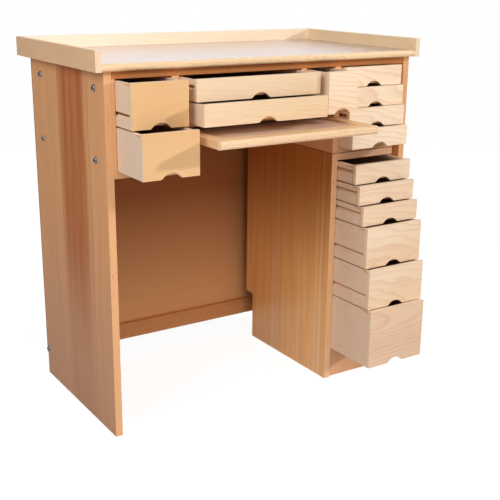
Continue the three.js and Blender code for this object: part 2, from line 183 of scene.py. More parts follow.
@dataclass(frozen=True)
class PlyEdge:
    """Plywood layers that show on a board's edges.

    The layers lie across one axis, between a face at start and the board's thickness behind it.
    """

    axis: str
    start: float
    layer_mm: float = 1.5
    pale: str = "f8e8d4"
    dark: str = "e3c29c"
    depth: float = 0.75
    turns: tuple[float, ...] = (0.0, 0.46, 0.54, 0.94, 1.0)
    edge_face: tuple[float, float] = (0.5, 0.3)

    def lay(self, tree: Tree, where: Socket, colour: Socket) -> Socket:
        """Lays the layers on faces that cut through the board.

        Args:
            tree: the material's tree.
            where: object coordinates.
            colour: the face veneer's colour.

        Returns:
            The colour with its edges.
        """
        letter = self.axis.upper()
        pair = 2 * self.layer_mm * MM
        deep = add_node(tree, SPLIT, {0: where}, letter)
        count = add_node(tree, MATH, {0: deep, 1: 1 / pair, 2: -self.start / pair},
                         operation="MULTIPLY_ADD")
        share = add_node(tree, MATH, {0: count}, operation="FRACT")
        pale, dark = linear(self.pale), linear(self.dark)
        layers = add_node(tree, "ShaderNodeValToRGB", {0: share},
                          stops=tuple(zip(self.turns, (pale, pale, dark, dark, pale))))
        normal = add_node(tree, "ShaderNodeNewGeometry", out="True Normal")
        facing = add_node(tree, SPLIT, {0: normal}, letter)
        level = add_node(tree, MATH, {0: facing}, operation="ABSOLUTE")
        start, full = self.edge_face
        mask = add_node(tree, RANGE, {0: level, 1: start, 2: full, 4: self.depth})
        return add_node(tree, MIX, {0: mask, 6: colour, 7: layers}, 2, data_type="RGBA")


@dataclass(frozen=True)
class Lipping:
    """A strip of solid wood glued to a board's front edge, with short flecks."""

    tone: str
    fleck: str
    depth: float = 0.9
    fleck_mm: tuple[float, float] = (2.0, 9.0)
    fleck_spread: float = 0.6
    fleck_range: tuple[float, float] = (0.66, 0.8)
    front_face: tuple[float, float] = (-0.5, -0.8)

    def lay(self, tree: Tree, where: Socket, colour: Socket) -> Socket:
        """Lays the strip on faces that look to the front.

        Args:
            tree: the material's tree.
            where: object coordinates.
            colour: the board's colour.

        Returns:
            The colour with its front edge.
        """
        wide, long = (1 / (size * MM) for size in self.fleck_mm)
        dash = add_node(tree, VECTOR, {0: where, 1: (wide, wide, long)}, operation="MULTIPLY")
        spot = add_node(tree, NOISE, {"Vector": dash, "Scale": self.fleck_spread, "Detail": 1.0})
        few, many = self.fleck_range
        marks = add_node(tree, RANGE, {0: spot, 1: few, 2: many})
        strip = add_node(tree, MIX, {0: marks, 6: linear(self.tone), 7: linear(self.fleck)}, 2,
                         data_type="RGBA")
        normal = add_node(tree, "ShaderNodeNewGeometry", out="True Normal")
        facing = add_node(tree, SPLIT, {0: normal}, "Y")
        start, full = self.front_face
        mask = add_node(tree, RANGE, {0: facing, 1: start, 2: full, 4: self.depth})
        return add_node(tree, MIX, {0: mask, 6: colour, 7: strip}, 2, data_type="RGBA")


@dataclass(frozen=True)
class Band:
    """A band of another tone along the grain of an upright board.

    It lies at a place across the board on Y, full at one height and faint at another. Its edges wave,
    and streaks along the grain break it up.
    """

    middle: float
    width_mm: float
    soft_mm: float
    tone: str
    depth: float
    full_z: float = 1.0
    faint_z: float = 0.0
    faint: float = 1.0
    wave_mm: float = 10.0
    patchy: float = 0.5
    waves_per_m: Triple = (0.0, 9.0, 3.5)
    streak_mm: float = 22.0
    streaks_per_m: float = 1.8
    streak_range: tuple[float, float] = (0.32, 0.62)

    def lay(self, tree: Tree, where: Socket, colour: Socket) -> Socket:
        """Lays the band over the board.

        Args:
            tree: the material's tree.
            where: object coordinates.
            colour: the board's colour.

        Returns:
            The colour with the band.
        """
        slow = add_node(tree, VECTOR, {0: where, 1: self.waves_per_m}, operation="MULTIPLY")
        wave = add_node(tree, NOISE, {"Vector": slow, "Scale": 1.0, "Detail": 3.0})
        place = add_node(tree, SPLIT, {0: where}, "Y")
        stray = self.wave_mm * MM
        offset = add_node(tree, MATH, {0: wave, 1: 2 * stray, 2: -stray - self.middle},
                          operation="MULTIPLY_ADD")
        across = add_node(tree, MATH, {0: place, 1: offset}, operation="ADD")
        away = add_node(tree, MATH, {0: across}, operation="ABSOLUTE")
        half, soft = self.width_mm * MM / 2, self.soft_mm * MM
        inside = add_node(tree, RANGE, {0: away, 1: half + soft, 2: half - soft, 4: self.depth},
                          interpolation_type="SMOOTHSTEP")
        height = add_node(tree, SPLIT, {0: where}, "Z")
        strength = add_node(tree, RANGE,
                            {0: height, 1: self.faint_z, 2: self.full_z, 3: self.faint, 4: 1.0},
                            interpolation_type="SMOOTHSTEP")
        long = add_node(tree, MATH, {0: height, 1: self.streaks_per_m}, operation="MULTIPLY")
        wide = add_node(tree, MATH, {0: across, 1: 1 / (self.streak_mm * MM)}, operation="MULTIPLY")
        place = add_node(tree, JOIN, {0: wide, 1: long})
        streak = add_node(tree, NOISE, {"Vector": place, "Scale": 1.0, "Detail": 3.0})
        few, many = self.streak_range
        broken = add_node(tree, RANGE, {0: streak, 1: few, 2: many, 3: self.patchy, 4: 1.0})
        mask = add_node(tree, MATH, {0: inside, 1: strength}, operation="MULTIPLY")
        mask = add_node(tree, MATH, {0: mask, 1: broken}, operation="MULTIPLY")
        return add_node(tree, MIX, {0: mask, 6: colour, 7: linear(self.tone)}, 2, data_type="RGBA")


@dataclass(frozen=True)
class BoxSpot:
    """Where a point lies on a drawer box, and the way its face looks.

    Distances are out from the middle, up from the floor, below the rim and behind the front joint.
    """

    out: Socket
    height: Socket
    below: Socket
    behind: Socket
    face_x: Socket
    face_y: Socket
    face_z: Socket


@dataclass(frozen=True)
class BoxWear:
    """Marks on a drawer box: grooves, painted shade on the inside, and veneer sanded through at the front
    joint.

    The box is centred on a place on X. Its sides meet the front at joint, under a rim. The grooves
    are pale fresh cuts with painted shade along the upper edge, where the lip shades them. The veneer is
    through in a wedge under the rim and in a strip along the joint, both with ragged edges.
    """

    middle: float
    half: float
    joint: float
    rim: float
    strip_mm: float
    groove_top: float
    # Painted shade: the tone of the groove's upper wall, which the lip above shades.
    burnt: str
    worn: float
    cut: str = "f9e2cb"
    # Painted shade: the dark tone laid on the box's inside faces.
    inside: str = "7c4724"
    bottom_edge: str = "e6b888"
    through: str = "d9a25f"
    groove_mm: tuple[float, float] = (8.0, 0.6)
    groove_below_mm: float = 4.0
    painted_groove_shade_mm: float = 7.8
    # Where the painted shade inside starts, as a share of the side's thickness, its depths below the rim and
    # its strength.
    inside_from: float = 0.7
    painted_shade_mm: tuple[float, float] = (1.0, 14.0)
    painted_shade_depth: float = 0.8
    bottom_edge_mm: float = 0.6
    ragged_mm: float = 9.0
    patch_mm: tuple[float, float] = (42.0, 6.5)
    patch_stray_mm: float = 5.0
    patch_soft_mm: float = 1.2
    rim_soft_mm: tuple[float, float] = (0.6, 1.4)
    strip_stray_mm: float = 3.0
    strip_soft_mm: float = 1.0
    strip_depth: float = 0.75
    side_face: tuple[float, float] = (0.75, 0.85)

    def lay(self, tree: Tree, where: Socket, colour: Socket) -> Socket:
        """Lays the marks on both sides of the box.

        Args:
            tree: the material's tree.
            where: object coordinates.
            colour: the plywood's colour.

        Returns:
            The colour with the marks.
        """
        place = add_node(tree, SPLIT, {0: where}).node.outputs
        normal = add_node(tree, "ShaderNodeNewGeometry", out="True Normal")
        facing = add_node(tree, SPLIT, {0: normal}).node.outputs
        offset = add_node(tree, MATH, {0: place["X"], 1: self.middle}, operation="SUBTRACT")
        out = add_node(tree, MATH, {0: offset}, operation="ABSOLUTE")
        below = add_node(tree, MATH, {0: self.rim, 1: place["Z"]}, operation="SUBTRACT")
        behind = add_node(tree, MATH, {0: place["Y"], 1: self.joint}, operation="SUBTRACT")
        spot = BoxSpot(out, place["Z"], below, behind, facing["X"], facing["Y"], facing["Z"])
        colour = self._grooved(tree, spot, colour)
        colour = self._painted_inside_shade(tree, spot, colour)
        return self._sanded(tree, where, spot, colour)

    def _grooved(self, tree: Tree, spot: BoxSpot, colour: Socket) -> Socket:
        """Cuts the grooves.

        Args:
            tree: the material's tree.
            spot: the place on the box.
            colour: the plywood's colour.

        Returns:
            The colour with pale grooves and painted shade along the upper edge.
        """
        deep, shallow = (self.half - size * MM for size in self.groove_mm)
        groove = add_node(tree, MATH, {0: spot.out, 1: deep}, operation="GREATER_THAN")
        short = add_node(tree, MATH, {0: spot.out, 1: shallow}, operation="LESS_THAN")
        under = add_node(tree, MATH, {0: spot.below, 1: self.groove_below_mm * MM}, operation="GREATER_THAN")
        level = add_node(tree, MATH, {0: spot.face_y}, operation="ABSOLUTE")
        sideways = add_node(tree, MATH, {0: level, 1: FACING}, operation="LESS_THAN")
        for test in (short, under, sideways):
            groove = add_node(tree, MATH, {0: groove, 1: test}, operation="MULTIPLY")
        # Painted shade on the groove's upper wall, below the lip.
        burnt_from = self.groove_top - self.painted_groove_shade_mm * MM
        upper = add_node(tree, MATH, {0: spot.height, 1: burnt_from}, operation="GREATER_THAN")
        tones = {0: upper, 6: linear(self.cut), 7: linear(self.burnt)}
        trace = add_node(tree, MIX, tones, 2, data_type="RGBA")
        return add_node(tree, MIX, {0: groove, 6: colour, 7: trace}, 2, data_type="RGBA")

    def _painted_inside_shade(self, tree: Tree, spot: BoxSpot, colour: Socket) -> Socket:
        """Paints shade on the inside and shows the bottom board's edge.

        Args:
            tree: the material's tree.
            spot: the place on the box.
            colour: the colour so far.

        Returns:
            The colour with painted shade inside and a tan edge at the front.
        """
        # Painted shade: inside faces below the rim, all but those facing down, turn dark.
        near, far = (self.half - share * SIDE_MM * MM for share in (self.inside_from, 1.0))
        within = add_node(tree, RANGE, {0: spot.out, 1: near, 2: far})
        shallow, deep = (size * MM for size in self.painted_shade_mm)
        sunk = add_node(tree, RANGE, {0: spot.below, 1: shallow, 2: deep, 4: self.painted_shade_depth})
        upward = add_node(tree, MATH, {0: spot.face_z, 1: -FACING}, operation="GREATER_THAN")
        painted_shade_mask = add_node(tree, MATH, {0: within, 1: sunk}, operation="MULTIPLY")
        painted_shade_mask = add_node(tree, MATH, {0: painted_shade_mask, 1: upward}, operation="MULTIPLY")
        dark = {0: painted_shade_mask, 6: colour, 7: linear(self.inside)}
        colour = add_node(tree, MIX, dark, 2, data_type="RGBA")
        first = add_node(tree, MATH, {0: spot.behind, 1: self.bottom_edge_mm * MM}, operation="LESS_THAN")
        edge = {0: first, 6: colour, 7: linear(self.bottom_edge)}
        return add_node(tree, MIX, edge, 2, data_type="RGBA")

    def _sanded(self, tree: Tree, where: Socket, spot: BoxSpot, colour: Socket) -> Socket:
        """Sands the veneer through at the front joint.

        Args:
            tree: the material's tree.
            where: object coordinates.
            spot: the place on the box.
            colour: the colour so far.

        Returns:
            The colour with the layer under the veneer showing.
        """
        grit = {"Vector": where, "Scale": 1 / (self.ragged_mm * MM), "Detail": 2.0}
        ragged = add_node(tree, NOISE, grit)
        length, height = (size * MM for size in self.patch_mm)
        slope = add_node(tree, RANGE, {0: spot.behind, 2: length, 3: height, 4: 0.0})
        stray = self.patch_stray_mm * MM
        edge = add_node(tree, MATH, {0: ragged, 1: stray, 2: -stray / 2}, operation="MULTIPLY_ADD")
        reach = add_node(tree, MATH, {0: slope, 1: edge}, operation="ADD")
        spare = add_node(tree, MATH, {0: reach, 1: spot.below}, operation="SUBTRACT")
        wedge = add_node(tree, RANGE, {0: spare, 1: 0.0, 2: self.patch_soft_mm * MM})
        start, full = (size * MM for size in self.rim_soft_mm)
        rim = add_node(tree, RANGE, {0: spot.below, 1: start, 2: full})
        wedge = add_node(tree, MATH, {0: wedge, 1: rim}, operation="MULTIPLY")
        stray = self.strip_stray_mm * MM
        least = self.strip_mm * MM - stray / 2
        spread = add_node(tree, MATH, {0: ragged, 1: stray, 2: least}, operation="MULTIPLY_ADD")
        room = add_node(tree, MATH, {0: spread, 1: spot.behind}, operation="SUBTRACT")
        strip = add_node(tree, RANGE, {0: room, 1: 0.0, 2: self.strip_soft_mm * MM, 4: self.strip_depth})
        mask = add_node(tree, MATH, {0: wedge, 1: strip}, operation="MAXIMUM")
        flat = add_node(tree, MATH, {0: spot.face_x}, operation="ABSOLUTE")
        start, full = self.side_face
        side = add_node(tree, RANGE, {0: flat, 1: start, 2: full, 4: self.worn})
        outer = add_node(tree, MATH, {0: spot.out, 1: self.half - SKIN_MM * MM}, operation="GREATER_THAN")
        for test in (side, outer):
            mask = add_node(tree, MATH, {0: mask, 1: test}, operation="MULTIPLY")
        bare = {0: mask, 6: colour, 7: linear(self.through)}
        return add_node(tree, MIX, bare, 2, data_type="RGBA")


@dataclass(frozen=True)
class WoodFinish:
    """One kind of wood. Growth rings round a pith make the figure on every face of a board.

    Colours are early wood, the darker growth lines and a tone that drifts over the board. The rings
    wander in waves of a length along and across the grain, and lean against the board's face.
    """

    name: str
    early: str
    late: str
    drift: str
    ring_mm: float
    ring_depth: float
    wander_mm: float
    wave_mm: tuple[float, float]
    lean: float
    drift_depth: float
    fibre_depth: float
    stripe_depth: float = 0.0
    stripe_mm: float = 8.0
    fleck_depth: float = 0.0
    speck_depth: float = 0.0
    roughness: float = 0.5
    gloss_swing: float = 0.08
    specular: float = 0.25
    fleck_range: tuple[float, float] = (0.62, 0.72)
    ring_relief: float = -0.4
    bump: float = 0.25
    bump_mm: float = 0.2

    def material(self, node: str, grain: Grain, place: Triple, *overlays: Overlay) -> Material:
        """Makes the material of one board cut from this wood.

        Args:
            node: the board's name.
            grain: how the board lies.
            place: its middle's place from the pith, in metres along, across and through the board.
            overlays: what is laid over the wood, in order.

        Returns:
            The material.
        """
        material, tree, shader = new_material(f"{self.name}_{node}", self.specular)
        low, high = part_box(node)
        turn = grain.turn()
        shift = Vector(place) - turn.to_matrix() @ ((low + high) / 2)
        where = add_node(tree, "ShaderNodeTexCoord", out="Object")
        cut = add_node(tree, "ShaderNodeMapping", {"Vector": where, "Location": shift, "Rotation": turn})
        rings, drift, radius = self._rings(tree, cut)
        colour, fibre = self._colour(tree, cut, rings, drift)
        if self.stripe_depth:
            colour = self._striped(tree, cut, radius, colour)
        for overlay in overlays:
            colour = overlay.lay(tree, where, colour)
        tree.links.new(colour, shader.inputs["Base Color"])
        rough, glossy = self.roughness + self.gloss_swing, self.roughness - self.gloss_swing
        dull = add_node(tree, RANGE, {0: fibre, 3: rough, 4: glossy})
        tree.links.new(dull, shader.inputs["Roughness"])
        relief = add_node(tree, MATH, {0: rings, 1: self.ring_relief, 2: fibre}, operation="MULTIPLY_ADD")
        height = {"Strength": self.bump, "Distance": self.bump_mm * MM, "Height": relief}
        bump = add_node(tree, "ShaderNodeBump", height)
        tree.links.new(bump, shader.inputs["Normal"])
        return material

    def _rings(self, tree: Tree, cut: Socket) -> tuple[Socket, Socket, Socket]:
        """Draws growth lines.

        Args:
            tree: the material's tree.
            cut: coordinates along, across and through the wood, from the pith.

        Returns:
            The growth lines, a slow drift from 0 to 1 and the distance from the pith.
        """
        along, across = (1 / (size * MM) for size in self.wave_mm)
        slow = add_node(tree, VECTOR, {0: cut, 1: (along, across, across)}, operation="MULTIPLY")
        bend = add_node(tree, NOISE, {"Vector": slow, "Scale": 1.0, "Detail": 2.0})
        place = add_node(tree, SPLIT, {0: cut}).node.outputs
        tilted = add_node(tree, MATH, {0: place["X"], 1: self.lean, 2: place["Z"]},
                          operation="MULTIPLY_ADD")
        flat = add_node(tree, JOIN, {1: place["Y"], 2: tilted})
        radius = add_node(tree, VECTOR, {0: flat}, "Value", operation="LENGTH")
        strayed = add_node(tree, MATH, {0: bend, 1: 2 * self.wander_mm * MM, 2: radius},
                           operation="MULTIPLY_ADD")
        count = add_node(tree, MATH, {0: strayed, 1: 1 / (self.ring_mm * MM)}, operation="MULTIPLY")
        share = add_node(tree, MATH, {0: count}, operation="FRACT")
        lines = add_node(tree, "ShaderNodeValToRGB", {0: share},
                         stops=tuple((spot, grey(level)) for spot, level in RING_LINE))
        broad = add_node(tree, VECTOR, {0: cut, 1: DRIFTS_PER_M}, operation="MULTIPLY")
        cloud = add_node(tree, NOISE, {"Vector": broad, "Scale": 1.0, "Detail": 3.0})
        drift = add_node(tree, RANGE, {0: cloud, 1: DRIFT_LOW, 2: DRIFT_HIGH})
        return lines, drift, strayed

    def _colour(self, tree: Tree, cut: Socket, rings: Socket, drift: Socket) -> tuple[Socket, Socket]:
        """Colours the growth lines, and draws fibres, specks and flecks.

        Args:
            tree: the material's tree.
            cut: coordinates along, across and through the wood.
            rings: the growth lines.
            drift: the slow drift.

        Returns:
            The colour and the fibres.
        """
        least, most = (share * self.ring_depth for share in RING_FADE)
        strength = add_node(tree, RANGE, {0: drift, 3: least, 4: most})
        depth = add_node(tree, MATH, {0: rings, 1: strength}, operation="MULTIPLY")
        wood = add_node(tree, MIX, {0: depth, 6: linear(self.early), 7: linear(self.late)}, 2,
                        data_type="RGBA")
        spread = add_node(tree, MATH, {0: drift, 1: self.drift_depth}, operation="MULTIPLY")
        wood = add_node(tree, MIX, {0: spread, 6: wood, 7: linear(self.drift)}, 2, data_type="RGBA")
        fine = add_node(tree, VECTOR, {0: cut, 1: FIBRES_PER_M}, operation="MULTIPLY")
        fibre = add_node(tree, NOISE, {"Vector": fine, "Scale": 1.0, "Detail": 3.0, "Roughness": 0.65})
        wood = self._shaded(tree, fibre, self.fibre_depth, wood)
        if self.speck_depth:
            grit = add_node(tree, NOISE, {"Vector": cut, "Scale": 1 / (SPECK_MM * MM), "Detail": 2.0})
            wood = self._shaded(tree, grit, self.speck_depth, wood)
        if self.fleck_depth:
            dash = add_node(tree, VECTOR, {0: cut, 1: FLECKS_PER_M}, operation="MULTIPLY")
            spot = add_node(tree, NOISE, {"Vector": dash, "Scale": 1.0, "Detail": 0.0})
            few, many = self.fleck_range
            mask = add_node(tree, RANGE, {0: spot, 1: few, 2: many, 4: self.fleck_depth})
            wood = add_node(tree, MIX, {0: mask, 6: wood, 7: linear(self.late)}, 2, data_type="RGBA")
        return wood, fibre

    def _striped(self, tree: Tree, cut: Socket, radius: Socket, colour: Socket) -> Socket:
        """Draws long stripes that follow the growth rings.

        Args:
            tree: the material's tree.
            cut: coordinates along, across and through the wood.
            radius: the distance from the pith.
            colour: the wood's colour.

        Returns:
            The striped colour.
        """
        along = add_node(tree, SPLIT, {0: cut}, "X")
        ring = add_node(tree, MATH, {0: radius, 1: 1 / (self.stripe_mm * MM)}, operation="MULTIPLY")
        place = add_node(tree, JOIN, {0: along, 1: ring})
        stripe = add_node(tree, NOISE, {"Vector": place, "Scale": 1.0, "Detail": 4.0})
        return self._shaded(tree, stripe, self.stripe_depth, colour)

    @staticmethod
    def _shaded(tree: Tree, noise: Socket, depth: float, colour: Socket) -> Socket:
        """Makes a colour lighter and darker by a noise.

        Args:
            tree: the material's tree.
            noise: the noise.
            depth: the most that it takes away or adds, as a share.
            colour: the colour.

        Returns:
            The shaded colour.
        """
        span = {0: noise, 1: NOISE_LOW, 2: NOISE_HIGH, 3: 1 - depth, 4: 1 + depth}
        shade = add_node(tree, RANGE, span)
        return add_node(tree, VECTOR, {0: colour, "Scale": shade}, operation="SCALE")


@dataclass(frozen=True)
class SpeckledFinish:
    """A pressed or printed sheet: one tone with a fine speckle and a slow drift.

    Its front may carry painted light: paler towards the floor, full at a low height and gone at a high one.
    """

    name: str
    tone: str
    speck: str
    drift: str
    speck_mm: float
    speck_depth: float
    drift_depth: float
    roughness: float
    specular: float
    # Painted light on the front: its tone, the heights where it is full and gone, and its strength.
    painted_light_tone: str = ""
    painted_light_z: tuple[float, float] = (0.08, 0.52)
    painted_light_depth: float = 0.85
    speck_range: tuple[float, float] = (0.42, 0.7)
    drifts_per_m: float = 4.0
    gloss_swing: float = 0.05
    bump: float = 0.12
    bump_mm: float = 0.1

    def material(self, piece: str) -> Material:
        """Makes the sheet's material.

        Args:
            piece: the sheet's name.

        Returns:
            The material.
        """
        material, tree, shader = new_material(f"{self.name}_{piece}", self.specular)
        where = add_node(tree, "ShaderNodeTexCoord", out="Object")
        grit = add_node(tree, NOISE, {"Vector": where, "Scale": 1 / (self.speck_mm * MM), "Detail": 2.0})
        few, many = self.speck_range
        mask = add_node(tree, RANGE, {0: grit, 1: few, 2: many, 4: self.speck_depth})
        slow = add_node(tree, NOISE, {"Vector": where, "Scale": self.drifts_per_m, "Detail": 3.0})
        spread = add_node(tree, RANGE, {0: slow, 1: DRIFT_LOW, 2: DRIFT_HIGH, 4: self.drift_depth})
        tone = add_node(tree, MIX, {0: spread, 6: linear(self.tone), 7: linear(self.drift)}, 2,
                        data_type="RGBA")
        tone = add_node(tree, MIX, {0: mask, 6: tone, 7: linear(self.speck)}, 2, data_type="RGBA")
        # Painted light: the front face turns paler towards the floor, where less shade falls.
        if self.painted_light_tone:
            above = add_node(tree, SPLIT, {0: where}, "Z")
            near, far = self.painted_light_z
            share = add_node(tree, RANGE, {0: above, 1: far, 2: near, 4: self.painted_light_depth})
            normal = add_node(tree, "ShaderNodeNewGeometry", out="True Normal")
            facing = add_node(tree, SPLIT, {0: normal}, "Y")
            front = add_node(tree, MATH, {0: facing, 1: -FACING}, operation="LESS_THAN")
            share = add_node(tree, MATH, {0: share, 1: front}, operation="MULTIPLY")
            tone = add_node(tree, MIX, {0: share, 6: tone, 7: linear(self.painted_light_tone)}, 2, data_type="RGBA")
        tree.links.new(tone, shader.inputs["Base Color"])
        glossy, rough = self.roughness - self.gloss_swing, self.roughness + self.gloss_swing
        dull = add_node(tree, RANGE, {0: grit, 3: glossy, 4: rough})
        tree.links.new(dull, shader.inputs["Roughness"])
        height = {"Strength": self.bump, "Distance": self.bump_mm * MM, "Height": grit}
        bump = add_node(tree, "ShaderNodeBump", height)
        tree.links.new(bump, shader.inputs["Normal"])
        return material


# Alder-veneered board, lacquered: warm tan with soft growth lines and wide full-length stripes.
ALDER = WoodFinish("alder_veneer_lacquered", "e2a674", "c6875a", "d69a6a", ring_mm=10.0, ring_depth=0.18,
                   wander_mm=30.0, wave_mm=(420.0, 110.0), lean=0.08, drift_depth=0.5, fibre_depth=0.04,
                   stripe_depth=0.07, stripe_mm=26.0, roughness=0.55, specular=0.08)
# The same veneer from redder wood, on the pedestal: fine dark and pale stripes under a glossier coat.
ALDER_STRIPED = replace(ALDER, early="bb7331", late="914c1d", drift="ac6328", ring_mm=6.0, ring_depth=0.45,
                        wander_mm=9.0, lean=0.02, fibre_depth=0.07, stripe_depth=0.16, stripe_mm=12.0,
                        fleck_depth=0.2, roughness=0.38, specular=0.5)
# A paler board of it, on the plinth.
ALDER_PALE = replace(ALDER, early="e2b08a", late="be8058", drift="d29a74")
# Birch plywood, rotary cut and lacquered: pale, with wide wavy figure.
BIRCH = WoodFinish("birch_plywood_lacquered", "f0d4b3", "d7ab76", "e9c596", ring_mm=5.5, ring_depth=0.26,
                   wander_mm=13.0, wave_mm=(260.0, 70.0), lean=0.04, drift_depth=0.5, fibre_depth=0.04,
                   roughness=0.48)
# The same birch in other tones: golden with a quiet figure, pale with a clear one, and browner.
BIRCH_GOLDEN = replace(BIRCH, early="e8bd8b", late="d39f64", drift="e1b17c", ring_depth=0.16, wander_mm=20.0,
                       lean=0.03, drift_depth=0.6)
BIRCH_PALE = replace(BIRCH, early="fde6cc", late="dca172", drift="f6d7b0", ring_depth=0.46, lean=0.07)
BIRCH_PEDESTAL = replace(BIRCH, early="f6dec2", late="d6a074", drift="ecc6a2", ring_depth=0.44,
                         drift_depth=0.65)
BIRCH_BROWN = replace(BIRCH, early="ecccaf", late="c98f62", drift="e0b997", ring_mm=9.0, ring_depth=0.45,
                      wander_mm=20.0)
# Birch plywood of the gallery: blotchy, tan on the left rail and paler on the others. The paler copies are
# painted light:
# the back rail lit where it faces the light, the right rail lightened against the shade on its inner face.
BIRCH_RAIL = replace(BIRCH, early="eac095", late="d29d6a", drift="d6a678", ring_depth=0.2, drift_depth=0.7)
BIRCH_RAIL_PAINTED_LIGHT = replace(BIRCH_RAIL, early="ffeed6", late="f2d3a6", drift="fae0bc")
BIRCH_RAIL_WARM_PAINTED_LIGHT = replace(BIRCH_RAIL, early="ffe4bc", late="f0c08a", drift="f9d3a2")
# Plywood of the drawer boxes, sanded and unlacquered: pinkish beige and dull, with a fine speckle.
BIRCH_SANDED = replace(BIRCH, name="birch_plywood_sanded", early="ecd1b7", late="dcb997", drift="e4c6aa",
                       ring_depth=0.12, wander_mm=8.0, drift_depth=0.4, fibre_depth=0.03, speck_depth=0.05,
                       roughness=0.65, specular=0.15)
# Beech strips, planed and lacquered: orange cream with short flecks.
BEECH = WoodFinish("beech_planed_lacquered", "ecc498", "cd9059", "deae7e", ring_mm=5.0, ring_depth=0.4,
                   wander_mm=6.0, wave_mm=(400.0, 60.0), lean=0.01, drift_depth=0.5, fibre_depth=0.06,
                   stripe_depth=0.1, fleck_depth=0.4, roughness=0.45)
# The top's front strip: paler beech with clear streaks.
BEECH_PALE = replace(BEECH, early="ffe0b8", late="d89a60", drift="f6cc9e", ring_depth=0.55)
# The tray's front strip: between the two.
BEECH_LIGHT = replace(BEECH, early="f6d4ae", late="d89e6a", drift="eac096")
# The low stretcher: browner beech.
BEECH_BROWN = replace(BEECH, early="dc9e6a", late="ba7848", drift="cc8b58")
# Raw edge of the top's core board, hidden under the laminate.
CORE = replace(BEECH, name="blockboard_raw", early="dcbb8f", late="c79c69", drift="d2ab7c", roughness=0.6)
# Medium-density fibreboard, pressed: flat brown with a fine speckle, and painted light that makes its front
# paler towards the floor.
FIBREBOARD = SpeckledFinish("fibreboard_pressed", "a06133", "834e23", "95592d", speck_mm=3.0, speck_depth=0.3,
                            drift_depth=0.5, roughness=0.6, specular=0.2, painted_light_tone="f8bf88")
# Melamine laminate, satin: pale pinkish grey with a trace of grain and a soft mirror.
LAMINATE = SpeckledFinish("melamine_laminate_satin", "d4baae", "c5aa9e", "ceb3a6", speck_mm=4.0,
                          speck_depth=0.3, drift_depth=0.4, roughness=0.18, specular=0.8)
# The tray's sheet: the same laminate, whiter and smoother.
LAMINATE_SMOOTH = replace(LAMINATE, tone="f8dcc6", speck="eaccb4", drift="f2d4bd", roughness=0.12)

# Solid strips on the front edges of the boards: paler than the veneer, with red-brown flecks.
PALE_LIPPING = Lipping("e8b182", "c98450")
BROWN_LIPPING = Lipping("eebf94", "cb9262")
# A dark strip for the unit's top panel: painted shade, where the top's overhang shades its front edge.
PAINTED_SHADE_LIPPING = Lipping("b4713f", "8f5128")


def dress(node: str, material: Material, ease_mm: float = 0.8) -> None:
    """Gives a solid its material and eases its sharp edges.

    Args:
        node: the solid's name.
        material: its material.
        ease_mm: width of the eased edge.
    """
    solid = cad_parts[node]
    solid.data.materials.clear()
    solid.data.materials.append(material)
    weld = solid.modifiers.new("merge_corners", "WELD")
    weld.merge_threshold = MERGE_MM * MM
    ease = solid.modifiers.new("eased_edges", "BEVEL")
    ease.width = ease_mm * MM
    ease.segments = 2
    ease.limit_method = "ANGLE"
    ease.angle_limit = EASED_ANGLE
    LOG.info("dressed %s", node)


@dataclass
class EndsAndBack:
    """The two end panels, the back panel and the low stretcher in front of it."""

    figure_and_painted_light: tuple[Band, ...] = (
        Band(0.042, 160, 24, "a8541a", 0.88, full_z=0.5, faint_z=0.1, faint=0.4, patchy=0.7),
        Band(0.130, 5, 3, "8f4a28", 0.5, full_z=0.5, faint_z=0.2, faint=0.3),
        Band(-0.062, 5, 3, "8f4a28", 0.5, full_z=0.5, faint_z=0.2, faint=0.5),
        # Painted light: a wide paler, greyer band, full near the floor and gone by mid-height, where the
        # floor's light and sheen fall.
        Band(0.08, 700, 50, "c99c84", 0.6, full_z=0.05, faint_z=0.6, faint=0.0, patchy=0.7),
    )

    def dress(self) -> None:
        """Gives each board its wood."""
        places = {"left_end_panel": (0.3, -0.21, 0.03), "right_end_panel": (1.7, 0.12, 0.05)}
        for node, place in places.items():
            dress(node, ALDER.material(node, Grain.UP_IN_SIDE, place, *self.figure_and_painted_light, PALE_LIPPING))
        dress("back_panel", FIBREBOARD.material("back"), ease_mm=0.4)
        beech = BEECH_BROWN.material("rear_stretcher", Grain.LEVEL_IN_FRONT, (0.6, 0.1, 0.05))
        dress("rear_stretcher", beech)


@dataclass
class TopAndGallery:
    """The bench top with its front lipping, laminate and the gallery on three sides."""

    rail_layer_mm: float = 2.1

    def dress(self) -> None:
        """Gives each board its wood or sheet."""
        core = CORE.material("bench_top", Grain.LEVEL_FLAT, (0.2, 0.0, 0.1))
        dress("bench_top", core, ease_mm=0.3)
        dress("work_surface", LAMINATE.material("top"), ease_mm=0.3)
        strip = BEECH_PALE.material("top_front_lipping", Grain.LEVEL_FLAT, (0.9, 0.3, 0.1))
        dress("top_front_lipping", strip, ease_mm=0.3)
        rails = (("left_gallery_rail", "x", Grain.DEEP_IN_SIDE, BIRCH_RAIL),
                 ("right_gallery_rail", "x", Grain.DEEP_IN_SIDE, BIRCH_RAIL_WARM_PAINTED_LIGHT),
                 ("back_gallery_rail", "y", Grain.LEVEL_IN_FRONT, BIRCH_RAIL_PAINTED_LIGHT))
        for count, (node, axis, grain, ply) in enumerate(rails):
            low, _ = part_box(node)
            edge = PlyEdge(axis, getattr(low, axis), self.rail_layer_mm)
            dress(node, ply.material(node, grain, (0.7 * count, 0.1, 0.12), edge), ease_mm=0.5)


